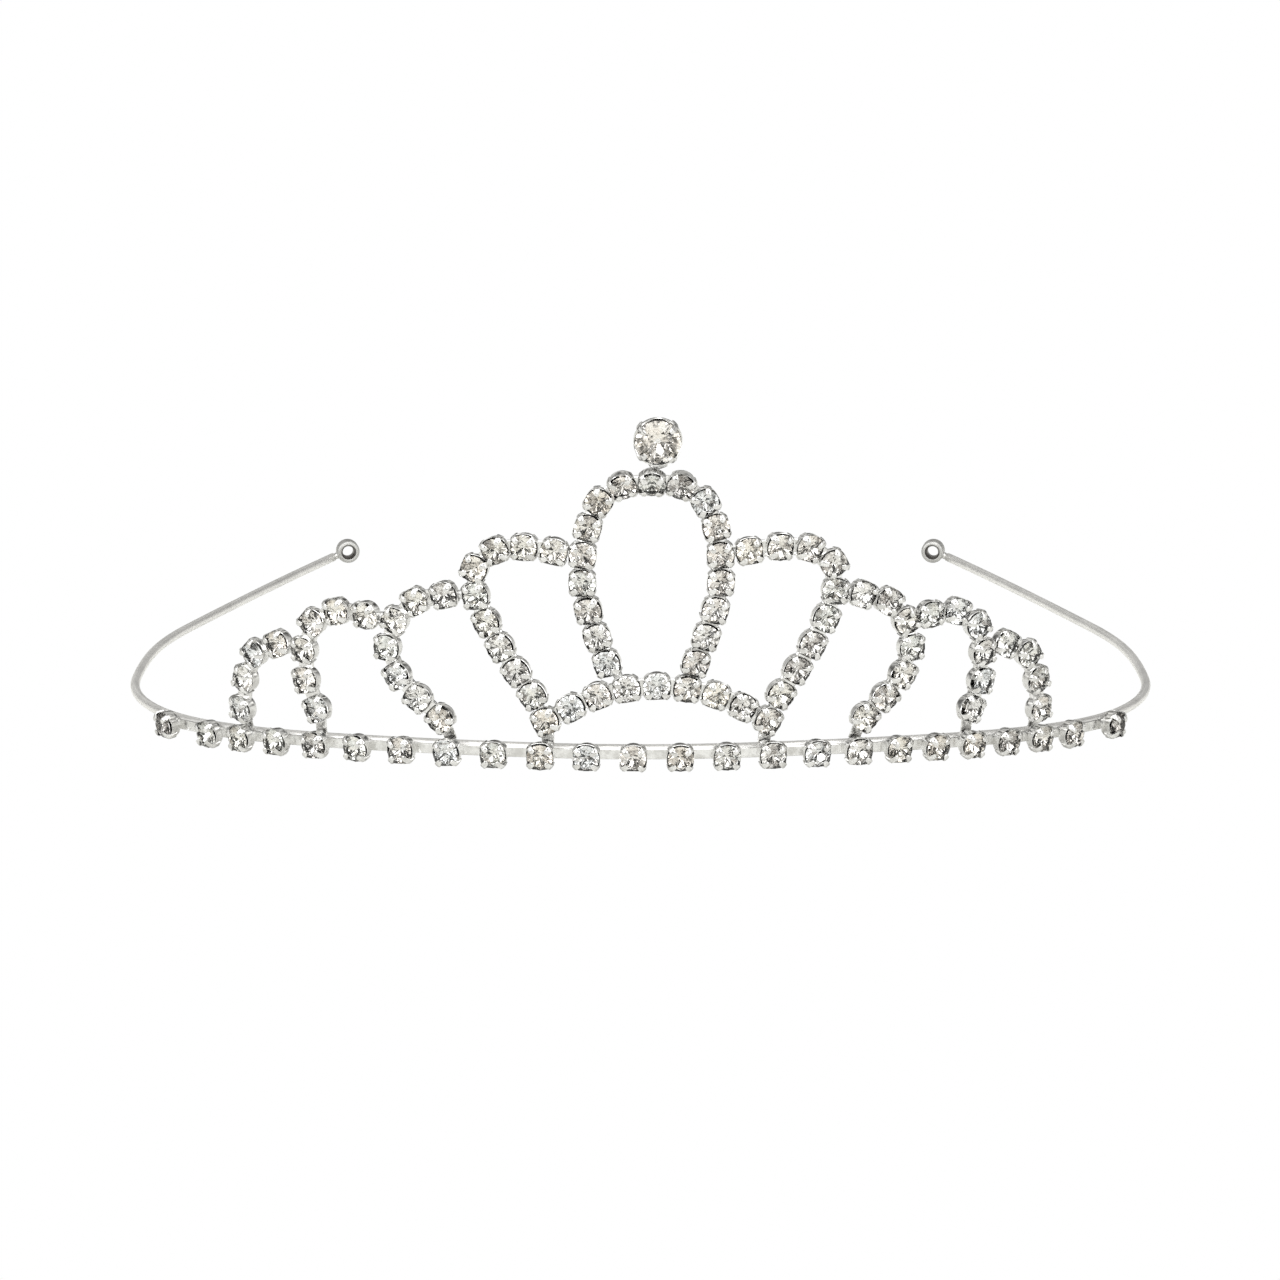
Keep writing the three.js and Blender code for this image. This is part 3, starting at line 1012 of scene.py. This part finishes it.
# ------------------------------------------------------------------------------ strands
@dataclass
class Strand:
    """One length of cup chain with its stones, laid on the crown.

    Its points are in pitches round and up the crown, its sizes in millimetres, and its rolls,
    unevenness and stone_tilt in degrees. A shift fades out over the first few points.
    """

    name: str
    node: str
    points: list[tuple[float, float]]
    cups: int
    rolls: dict[int, float] = field(default_factory=dict)
    feet: dict[int, float] = field(default_factory=dict)
    stone_nodes: str = ""
    link_depth: float = 0.3
    link_width: float = 1.6
    link_thick: float = 0.30
    link_bow: float = 0.05
    link_rise: float = 0.0
    throat_width: float = 2.3
    throat_thick: float = 0.5
    throat_rise: float = 0.55
    throat_lap: float = 0.24
    foot_width: float = 1.7
    foot_thick: float = 0.3
    foot_bow: float = 0.12
    foot_height: float = 0.1
    unevenness: float = 2.2
    tilt_height: float = 1.0
    stone_tilt: float = 2.5
    shift: float = 0.0
    fade: int = 0
    # Stones whose foil carries a darker painted reflection.
    smoky: tuple[int, ...] = ()

    def seats(self, crown: CrownSurface) -> list[Matrix]:
        """Returns the places of the strand's cups.

        Args:
            crown: the surface they lie on.

        Returns:
            The places, first to last.
        """
        points = []
        for k, (s, h) in enumerate(self.points):
            share = max(0.0, 1.0 - k / self.fade) if self.fade else 1.0
            points.append((crown.stand_at(s * crown.pitch) + self.shift * share, h * crown.pitch))
        curve = StrandCurve(points)
        places = []
        for k in range(self.cups):
            at, way = curve.at_share(k / (self.cups - 1))
            places.append(crown.seat(at[0], at[1], (way[0], way[1]), self.rolls.get(k, 0.0)))
        return places

    def shaken(self, seat: Matrix, rng: random.Random) -> Matrix:
        """Returns a cup's place with the small tilt and turn of hand soldering.

        Args:
            seat: the even place.
            rng: picks the tilts.

        Returns:
            The uneven place.
        """
        tilts = [math.radians(rng.gauss(0.0, self.unevenness)) for _ in range(3)]
        turn = Matrix.Identity(4)
        for tilt, axis in zip(tilts, "XYZ"):
            turn = turn @ Matrix.Rotation(tilt, 4, axis)
        pivot = Matrix.Translation((0.0, 0.0, self.tilt_height))
        return seat @ pivot @ turn @ pivot.inverted()

    def build(self, crown: CrownSurface, palette: Palette) -> list[Matrix]:
        """Makes the chain and its stones, rides them and reports them.

        Args:
            crown: the surface they lie on.
            palette: their finishes.

        Returns:
            The cups' places, for the solder.
        """
        rng = random.Random(self.name)
        seats = self.seats(crown)
        chain = MeshDraft()
        self.links(chain, seats)
        self.foot_links(chain, seats, crown)
        for k, seat in enumerate(seats):
            real = self.shaken(seat, rng)
            chain.add(CHAIN_CUP.cup(rng), real)
            self.stone(k, real, crown, palette, rng)
        piece = chain.piece(self.name, [palette.plated], crown.origin)
        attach(piece, CROWN)
        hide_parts(self.node)
        report(piece)
        LOG.info("%-28s %5d stones", self.name, len(seats))
        return seats

    def links(self, chain: MeshDraft, seats: list[Matrix]) -> None:
        """Adds the flat link behind each pair of cups and the short throat between their walls.

        Args:
            chain: the chain so far.
            seats: the cups' places.
        """
        lift = Vector((0.0, 0.0, self.link_rise))
        backs = [seat @ Vector((0.0, 0.0, self.link_depth)) + lift for seat in seats]
        outs = [seat.to_3x3().col[2] for seat in seats]
        for k in range(len(seats) - 1):
            length, place = span(backs[k], backs[k + 1], outs[k] + outs[k + 1])
            chain.add(bar_form(length, self.link_width, self.link_thick, self.link_bow), place)
            throat = length - 2 * CHAIN_CUP.radius + self.throat_lap
            if self.throat_width:
                raised = place @ Matrix.Translation((0.0, 0.0, self.throat_rise))
                chain.add(bar_form(throat, self.throat_width, self.throat_thick), raised)

    def foot_links(self, chain: MeshDraft, seats: list[Matrix], crown: CrownSurface) -> None:
        """Adds the last links, bent down to the band.

        Args:
            chain: the chain so far.
            seats: the cups' places.
            crown: the surface they lie on.
        """
        for cup, round_ in self.feet.items():
            foot = crown.point(
                crown.stand_at(round_), crown.wire_radius + crown.soldering, self.foot_height
            )
            back = seats[cup] @ Vector((0.0, 0.0, self.link_depth))
            length, place = span(back, foot, seats[cup].to_3x3().col[2])
            chain.add(bar_form(length, self.foot_width, self.foot_thick, self.foot_bow), place)

    def stone(
        self, k: int, seat: Matrix, crown: CrownSurface, palette: Palette, rng: random.Random
    ) -> None:
        """Makes one stone in its cup.

        Args:
            k: its number along the strand, from 0.
            seat: its cup's place.
            crown: the surface it lies on.
            palette: the finishes.
            rng: picks its turn and its tint.
        """
        draft = MeshDraft()
        turn = Matrix.Rotation(rng.uniform(0.0, math.pi / 4), 4, "Z")
        tip = Matrix.Rotation(math.radians(rng.gauss(0.0, self.stone_tilt)), 4, "X")
        draft.add(CHAIN_STONE.draft(), seat @ turn @ tip)
        # Each stone's foil carries painted reflections and glints.
        finishes = [rng.choice(palette.crystals), rng.choice(palette.foils)]
        # The listed stones take the foil with the darker painted reflection.
        if k in self.smoky:
            finishes[1] = palette.end_foil
        base = self.stone_nodes or f"{self.name.replace('_chain', '')}_stone"
        label = f"{base}_{k + 1:02d}"
        piece = draft.piece(f"cut_{label}", finishes, crown.origin, smooth=False)
        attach(piece, CROWN)
        if self.stone_nodes:
            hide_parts(label)


@dataclass
class BaseStrand(Strand):
    """The spaced chain along the band, whose last links are longer."""

    def seats(self, crown: CrownSurface) -> list[Matrix]:
        """Returns the places of the base cups, evenly spaced but for the last.

        Args:
            crown: the surface they lie on.

        Returns:
            The places, left to right.
        """
        half = crown.base_cups // 2
        reaches = [(k + 0.5) * crown.base_spacing * crown.pitch for k in range(half - 1)]
        reaches.append(crown.end_reach)
        rounds = [-s for s in reversed(reaches)] + reaches
        return [crown.seat(crown.stand_at(s), -crown.base_drop, (1.0, 0.0)) for s in rounds]


@dataclass
class CrownFront:
    """All the strands of the crown front and the solder that holds them.

    The strands' points are (round, up) pairs in pitches. Each arch has its name, its cup count,
    where its foot stands in base spacings (0 for none) and its points.
    """

    crown: CrownSurface
    palette: Palette
    oval_points: tuple[tuple[float, float], ...] = (
        (-1.42, 3.15), (-1.97, 4.8), (-2.21, 6.3), (-1.75, 8.55), (-1.0, 9.3), (0.0, 9.47),
        (1.0, 9.3), (1.75, 8.55), (2.21, 6.3), (1.97, 4.8), (1.42, 3.15),
    )
    cross_points: tuple[tuple[float, float], ...] = (
        (-3.62, 1.08), (-1.85, 2.03), (0.0, 2.35), (1.85, 2.03), (3.62, 1.08),
    )
    arches: tuple[tuple[str, int, float, tuple[tuple[float, float], ...]], ...] = (
        ("inner_arch", 9, 0.0, (
            (3.08, 6.98), (4.0, 7.1), (4.95, 7.02), (5.76, 6.4), (5.8, 5.45), (5.05, 3.65), (4.03, 1.98),
        )),
        ("second_arch", 7, 4.5, (
            (6.79, 5.36), (7.7, 5.12), (8.42, 4.42), (8.72, 3.5), (8.4, 2.45), (7.05, 1.05),
        )),
        ("third_arch", 6, 7.5, (
            (9.4, 4.55), (10.35, 4.64), (11.28, 4.2), (11.65, 3.25), (11.67, 2.2), (11.3, 1.15),
        )),
        ("outer_arch", 4, 9.5, ((12.65, 3.36), (13.62, 2.97), (14.15, 1.98), (14.36, 0.93))),
    )
    oval_cups: int = 17
    cross_cups: int = 9
    base_drop_size: tuple[float, float, float] = (1.0, 0.42, 0.24)
    base_drop_place: tuple[float, float, float] = (0.0, 0.35, -0.10)
    foot_drop_size: tuple[float, float, float] = (0.78, 0.5, 0.34)
    foot_drop_height: float = 0.85
    foot_drop_out: float = 0.12
    join_size: tuple[float, float, float] = (0.4, 0.66, 0.6)
    join_share: float = 0.2
    join_depth: float = 0.7
    join_spacing: float = 3.0
    strand_reach: float = 5.2
    base_reach: float = 4.1

    @property
    def oval_top(self) -> float:
        """The oval's highest point, in pitches."""
        return max(height for _, height in self.oval_points)

    def strands(self) -> list[Strand]:
        """Returns every strand of the crown front.

        Returns:
            The strands, in the order they are built.
        """
        spacing = self.crown.base_spacing * self.crown.pitch
        cross_foot = self.cross_points[-1][0] * self.crown.pitch
        found: list[Strand] = [
            BaseStrand(
                "base_cup_chain", "base_chain", [], self.crown.base_cups, stone_nodes="base_stone",
                link_width=1.4, link_thick=0.26, link_rise=0.2, throat_width=0.0, unevenness=1.6,
                smoky=(0, self.crown.base_cups - 1),
            ),
            Strand(
                "oval_cup_chain", "oval_chain", list(self.oval_points), self.oval_cups,
                rolls={7: 14.0, 8: 22.0, 9: 14.0}, stone_nodes="oval_stone",
                shift=self.crown.oval_shift,
            ),
            Strand(
                "cross_arch_cup_chain", "cross_arch_chain", list(self.cross_points),
                self.cross_cups, feet={0: -cross_foot, self.cross_cups - 1: cross_foot},
            ),
        ]
        for name, cups, foot, points in self.arches:
            for side in Side:
                turned = [(side.value * s, h) for s, h in points]
                feet = {cups - 1: side.value * foot * spacing} if foot else {}
                follows = self.crown.oval_shift if name == "inner_arch" else 0.0
                found.append(
                    Strand(
                        f"{name}_cup_chain_{side.word}", f"{name}_chain_{side.word}",
                        turned, cups, feet=feet, shift=follows, fade=self.crown.oval_fade,
                    )
                )
        return found

    def build(self) -> None:
        """Makes the strands, then the solder between them."""
        seats = {}
        feet = []
        for strand in self.strands():
            seats[strand.name] = strand.build(self.crown, self.palette)
            feet += list(strand.feet.values())
        self.solder(seats, feet)

    def solder(self, seats: dict[str, list[Matrix]], feet: list[float]) -> None:
        """Makes the drops of solder where strands meet each other and the band.

        Args:
            seats: every strand's cups by its name.
            feet: distances round the band where the feet stand.
        """
        draft = MeshDraft()
        crown = self.crown
        count = 0
        for seat in seats["base_cup_chain"]:
            drop = blob_form(Vector(self.base_drop_size), count)
            draft.add(drop, seat @ Matrix.Translation(self.base_drop_place))
            count += 1
        for s in feet:
            height = crown.wire_radius * self.foot_drop_height
            at = crown.point(crown.stand_at(s), height, self.foot_drop_out)
            draft.add(blob_form(Vector(self.foot_drop_size), count), Matrix.Translation(at))
            count += 1
        names = [n for n in seats if n != "base_cup_chain"]
        for k, name in enumerate(names):
            for other in names[k + 1 :]:
                count = self.join(draft, seats[name], seats[other], count, self.strand_reach)
        for name in names:
            count = self.join(draft, seats[name], seats["base_cup_chain"], count, self.base_reach)
        piece = draft.piece("solder_drops", [self.palette.solder], crown.origin)
        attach(piece, CROWN)
        report(piece)

    def join(
        self, draft: MeshDraft, a: list[Matrix], b: list[Matrix], count: int, reach: float
    ) -> int:
        """Adds a drop between each close pair of two strands' cups, nearest pairs first.

        Args:
            draft: the solder so far.
            a: one strand's cups.
            b: the other's.
            count: how many drops there are.
            reach: the longest distance that solder bridges.

        Returns:
            The new count.
        """
        pairs = [((p.translation - q.translation).length, p, q) for p in a for q in b]
        near = sorted((x for x in pairs if x[0] < reach), key=lambda x: x[0])
        placed: list[Vector] = []
        for _, p, q in near:
            depth = Vector((0.0, 0.0, self.join_depth))
            middle = (p @ depth + q @ depth) / 2
            if any((middle - m).length < self.join_spacing for m in placed):
                continue
            placed.append(middle)
            way = q.translation - p.translation
            _, place = span(p.translation, q.translation, p.to_3x3().col[2])
            place.translation = middle
            shortest, width, height = self.join_size
            size = Vector((max(way.length * self.join_share, shortest), width, height))
            draft.add(blob_form(size, count), place)
            count += 1
        return count


@dataclass
class PeakStone:
    """The large stone in its own claw setting on top of the oval, whose height is in pitches."""

    crown: CrownSurface
    palette: Palette
    oval_top: float
    radius: float = 3.3
    stone_turn: float = 0.2
    drop_size: tuple[float, float, float] = (1.35, 0.95, 0.75)
    drop_lap: float = 0.1
    drop_depth: float = 1.2
    drop_seed: int = 71

    def build(self) -> None:
        """Makes the setting, the stone and the solder under them."""
        crown = self.crown
        height = self.oval_top * crown.pitch
        height += crown.cup_diameter / 2 + crown.soldering * 2 + self.radius
        seat = crown.seat(crown.stand_at(0.0), height, (1.0, 0.0))
        setting = MeshDraft()
        setting.add(PEAK_CUP.cup(random.Random("peak")), seat)
        claws = setting.piece("peak_claw_setting", [self.palette.plated], crown.origin)
        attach(claws, CROWN)
        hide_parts("peak_setting")
        report(claws)
        stone = MeshDraft()
        stone.add(PEAK_STONE.draft(), seat @ Matrix.Rotation(self.stone_turn, 4, "Z"))
        # The peak stone's foil carries painted reflections.
        finishes = [self.palette.crystals[0], self.palette.peak_foil]
        cut = stone.piece("cut_peak_stone", finishes, crown.origin, smooth=False)
        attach(cut, CROWN)
        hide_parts("peak_stone")
        report(cut)
        drop = MeshDraft()
        foot = seat @ Vector((0.0, self.drop_lap - self.radius, self.drop_depth))
        drop.add(blob_form(Vector(self.drop_size), self.drop_seed), Matrix.Translation(foot))
        bead = drop.piece("peak_solder_drop", [self.palette.solder], crown.origin)
        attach(bead, CROWN)
        report(bead)


# ------------------------------------------------------------------------------ band
@dataclass
class BandWire:
    """The spring wire: its front on the crown's body and two arms that bend away from it."""

    crown: CrownSurface
    palette: Palette
    sides: int = 20
    step: float = 0.9
    end_ease: float = 0.12
    way_step: float = 0.02
    bend_end: float = 118.0

    def run(self, start: float, end: float) -> MeshDraft:
        """Returns a round wire between two distances round the band, with eased ends.

        Args:
            start: the signed distance where it begins.
            end: the one where it ends.

        Returns:
            The wire.
        """
        draft = MeshDraft()
        count = max(2, round(abs(end - start) / self.step))
        ease, full = self.end_ease, self.crown.wire_radius
        way = math.copysign(1.0, end - start)
        inner_start, inner_end = start + way * ease * 0.5, end - way * ease
        stations = [(start, full - ease)]
        for k in range(count + 1):
            stations.append((inner_start + (inner_end - inner_start) * k / count, full))
        stations.append((end, full - ease))
        rings = []
        for s, radius in stations:
            at, ahead, behind = (
                self.crown.point(s + step, 0.0, 0.0) for step in (0.0, self.way_step, -self.way_step)
            )
            x = (ahead - behind).normalized()
            y = Vector((0.0, 0.0, 1.0)).cross(x).normalized()
            z = x.cross(y)
            turns = (k * 2 * math.pi / self.sides for k in range(self.sides))
            rings.append(
                draft.ring([at + (y * math.cos(a) + z * math.sin(a)) * radius for a in turns])
            )
        for a, b in zip(rings, rings[1:]):
            draft.bridge(a, b)
        draft.face(*rings[0][::-1])
        draft.face(*rings[-1])
        return draft

    def build(self) -> None:
        """Makes the front wire and the arms."""
        crown = self.crown
        front = self.run(-crown.flex_reach, crown.flex_reach)
        piece = front.piece("band_front_wire", [self.palette.band], crown.origin)
        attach(piece, CROWN)
        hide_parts("front_wire")
        report(piece)
        for side in Side:
            draft = self.run(side.value * crown.flex_reach, side.value * crown.half_wire)
            arm = draft.piece(f"band_arm_wire_{side.word}", [self.palette.band], crown.origin)
            root = (crown.point(side.value * crown.flex_reach, 0.0, 0.0) + crown.origin) * MM
            free = (crown.point(side.value * self.bend_end, 0.0, 0.0) + crown.origin) * MM
            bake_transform(arm)
            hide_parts(f"{side.word}_arm_wire")
            report(arm)


@dataclass
class HairpinEye:
    """The turned ring on a wire end that a hairpin passes through, with its solder bead."""

    crown: CrownSurface
    palette: Palette
    side: Side
    bore: float = 0.86
    mouth: float = 1.14
    length: float = 2.4
    round_over: float = 0.5
    lip: float = 0.1
    mouth_depth: float = 0.55
    corner_steps: int = 4
    sides: int = 48
    crease: float = 50.0
    bead_size: tuple[float, float, float] = (0.5, 0.7, 0.55)
    bead_reach: float = 0.6
    bead_seed: int = 80
    bead_dents: float = 0.05

    def ring_profile(self) -> list[tuple[float, float]]:
        """Returns the ring's section as (radius, along the bore) pairs.

        Returns:
            The pairs, round the section.
        """
        outer = self.crown.eye_diameter / 2
        half = self.length / 2
        corners = (
            (0.0, self.round_over, outer - self.round_over),
            (90.0, self.lip, self.mouth + self.lip),
        )
        points = []
        for start, radius, centre in corners:
            for k in range(self.corner_steps + 1):
                a = math.radians(start + k * 90.0 / self.corner_steps)
                points.append((centre + radius * math.cos(a), half - radius + radius * math.sin(a)))
        points.append((self.bore, half - self.mouth_depth))
        mirrored = [(radius, -z) for radius, z in reversed(points)]
        return points + mirrored

    def build(self) -> None:
        """Makes the ring and the bead that joins it to the wire."""
        crown, side = self.crown, self.side
        draft = MeshDraft()
        profile = self.ring_profile()
        rings = [
            draft.ring(
                [
                    Vector((radius * math.cos(a), z, radius * math.sin(a)))
                    for a in (k * 2 * math.pi / self.sides for k in range(self.sides))
                ]
            )
            for radius, z in profile
        ]
        # Faces out to the mouth's radius take finish 1, the bore's painted shade.
        for (a, b), near in zip(zip(rings, rings[1:] + rings[:1]), profile):
            draft.bridge(a, b, finish=1 if near[0] <= self.mouth else 0)
        centre = crown.eye_centre(side)
        place = Matrix.Translation(centre) @ Matrix.Rotation(-side.value * crown.eye_turn, 4, "Z")
        turned = MeshDraft()
        turned.add(draft, place)
        # Finish 0 is the ring's silver darkened as painted shade; finish 1 is the bore's darker painted
        # shade.
        finishes = [self.palette.eye, self.palette.bore]
        name = f"hairpin_eye_ring_{side.word}"
        ring = turned.piece(name, finishes, crown.origin, crease=self.crease)
        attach(ring, f"{side.word}_arm")
        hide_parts(f"hairpin_eye_{side.word}")
        report(ring)
        end = crown.point(side.value * crown.half_wire, 0.0, 0.0)
        towards = (centre - end).normalized()
        bead = MeshDraft()
        form = blob_form(Vector(self.bead_size), self.bead_seed + side.value, self.bead_dents)
        bead.add(form, Matrix.Translation(end + towards * self.bead_reach))
        drop = bead.piece(f"eye_solder_bead_{side.word}", [self.palette.plated], crown.origin)
        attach(drop, f"{side.word}_arm")
        report(drop)


# ------------------------------------------------------------------------------ studio
@dataclass
class SoftBox:
    """One soft lamp: where it stands, its size in metres and its power in watts."""

    name: str
    place: tuple[float, float, float]
    size: tuple[float, float]
    power: float


@dataclass
class Studio:
    """White paper, soft boxes, the room that metal and stones mirror, and the camera.

    The camera's distance, the lamps and lamp_aim are in metres; the camera's aim is in
    millimetres from the crown's origin. The room's stops run from below to above.
    """

    crown: CrownSurface
    pitch_down: float = math.radians(13.0)
    distance: float = 0.800
    focal: float = 171.0
    sensor: float = 36.0
    aim_height: float = 14.8
    side_step: float = -0.07
    lamp_aim: tuple[float, float, float] = (0.0, -0.03, 0.02)
    boxes: tuple[SoftBox, ...] = (
        SoftBox("top_box", (0.0, -0.45, 1.0), (1.2, 0.7), 4.4),
        SoftBox("left_box", (-1.0, -0.7, 0.55), (0.5, 0.9), 3.3),
        SoftBox("right_box", (0.95, -0.85, 0.5), (0.4, 0.9), 2.6),
        SoftBox("front_strip", (-0.12, -1.35, 0.62), (0.45, 0.45), 2.2),
    )
    paper_rings: tuple[float, ...] = (200.0, 800.0, 2000.0, 6000.0)
    paper_sides: int = 48
    room_stops: tuple[tuple[float, float], ...] = (
        (0.0, 0.6), (0.49, 0.6), (0.54, 0.45), (0.60, 0.50),
        (0.68, 0.90), (0.78, 0.50), (0.88, 0.80), (1.0, 0.50),
    )
    room_tint: tuple[float, float, float] = (1.0, 0.99, 0.955)
    patch_scale: float = 2.6
    patch_detail: float = 1.5
    patch_from: tuple[float, float] = (0.38, 0.62)
    patch_tones: tuple[float, float] = (0.16, 1.85)
    back_from: tuple[float, float] = (0.35, 0.95)
    back_tones: tuple[float, float] = (1.0, 0.62)

    def build(self) -> None:
        """Makes the paper, the lamps, the surroundings and the camera."""
        self.paper()
        self.surroundings()
        aim = Vector(self.lamp_aim)
        for box in self.boxes:
            lamp = bpy.data.lights.new(box.name, "AREA")
            lamp.shape = "RECTANGLE"
            lamp.size, lamp.size_y = box.size
            lamp.energy = box.power
            stand = bpy.data.objects.new(box.name, lamp)
            stand.location = box.place
            stand.rotation_euler = (aim - Vector(box.place)).to_track_quat("-Z", "Y").to_euler()
            bpy.context.scene.collection.objects.link(stand)
        self.camera()

    def paper(self) -> None:
        """Makes the sheet of paper under the tiara, a disc of rings."""
        draft = MeshDraft()
        centre = draft.ring([Vector((0.0, 0.0, 0.0))])[0]
        rings = []
        count = self.paper_sides
        for radius in self.paper_rings:
            turns = (k * 2 * math.pi / count for k in range(count))
            rings.append(
                draft.ring([Vector((radius * math.cos(a), radius * math.sin(a), 0.0)) for a in turns])
            )
        for k in range(count):
            draft.face(centre, rings[0][k], rings[0][(k + 1) % count])
        for a, b in zip(rings, rings[1:]):
            draft.bridge(a, b)
        floor = draft.piece("studio_paper_sheet", [PaperFinish().material()], Vector((0.0, 0.0, 0.0)))

    def surroundings(self) -> None:
        """Makes the room: white to look at, with grey bands and patches for the metal to mirror."""
        world = bpy.data.worlds.new("studio_room")
        world.use_nodes = True
        tree = world.node_tree
        tree.nodes.clear()
        make = tree.nodes.new
        output = make("ShaderNodeOutputWorld")
        mix = make("ShaderNodeMixShader")
        white = make("ShaderNodeBackground")
        white.inputs["Color"].default_value = (1.0, 1.0, 1.0, 1.0)
        room = make("ShaderNodeBackground")
        path = make("ShaderNodeLightPath")
        where = make("ShaderNodeTexCoord")
        split = make("ShaderNodeSeparateXYZ")
        ramp = make("ShaderNodeValToRGB")
        fill_ramp(
            ramp, [(place, tuple(tone * t for t in self.room_tint)) for place, tone in self.room_stops]
        )
        clutter = make("ShaderNodeTexNoise")
        clutter.inputs["Scale"].default_value = self.patch_scale
        clutter.inputs["Detail"].default_value = self.patch_detail

        def mapped(reads: tuple[float, float], gives: tuple[float, float]) -> bpy.types.Node:
            """Adds a mapping from one range of values to another.

            Args:
                reads: the range it reads.
                gives: the range it gives.

            Returns:
                The mapping node.
            """
            made = make("ShaderNodeMapRange")
            for key, value in zip(("From Min", "From Max", "To Min", "To Max"), (*reads, *gives)):
                made.inputs[key].default_value = value
            return made

        spread = mapped((-1.0, 1.0), (0.0, 1.0))
        shade = mapped(self.patch_from, self.patch_tones)
        depth = mapped(self.back_from, self.back_tones)
        product = make("ShaderNodeMath")
        product.operation = "MULTIPLY"
        join = tree.links.new
        join(where.outputs["Generated"], clutter.inputs["Vector"])
        join(clutter.outputs["Fac"], shade.inputs["Value"])
        join(split.outputs["Y"], depth.inputs["Value"])
        join(shade.outputs["Result"], product.inputs[0])
        join(depth.outputs["Result"], product.inputs[1])
        join(product.outputs["Value"], room.inputs["Strength"])
        join(where.outputs["Generated"], split.inputs["Vector"])
        join(split.outputs["Z"], spread.inputs["Value"])
        join(spread.outputs["Result"], ramp.inputs["Fac"])
        join(ramp.outputs["Color"], room.inputs["Color"])
        join(path.outputs["Is Camera Ray"], mix.inputs["Fac"])
        join(room.outputs["Background"], mix.inputs[1])
        join(white.outputs["Background"], mix.inputs[2])
        join(mix.outputs["Shader"], output.inputs["Surface"])
        bpy.context.scene.world = world

    def camera(self) -> None:
        """Makes the camera: long lens, a little above the front of the crown."""
        aim = (self.crown.origin + Vector((self.side_step, 0.0, self.aim_height))) * MM
        back = Vector((0.0, -math.cos(self.pitch_down), math.sin(self.pitch_down)))
        lens = bpy.data.cameras.new("camera")
        lens.lens = self.focal
        lens.sensor_width = self.sensor
        lens.clip_start, lens.clip_end = 0.01, 50.0
        view = bpy.data.objects.new("camera", lens)
        view.location = aim + back * self.distance
        view.rotation_euler = (-back).to_track_quat("-Z", "Y").to_euler()
        scene = bpy.context.scene
        scene.collection.objects.link(view)
        scene.camera = view
        scene.view_settings.view_transform = "Standard"


def main() -> None:
    """Builds the tiara round its frame, piece by piece, and sets the studio."""
    logging.basicConfig(level=logging.INFO, format="%(message)s")
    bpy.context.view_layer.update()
    crown = CrownSurface()
    palette = Palette()
    BandWire(crown, palette).build()
    for side in Side:
        HairpinEye(crown, palette, side).build()
    front = CrownFront(crown, palette)
    front.build()
    PeakStone(crown, palette, front.oval_top).build()
    Studio(crown).build()


if __name__ == "__main__":
    main()
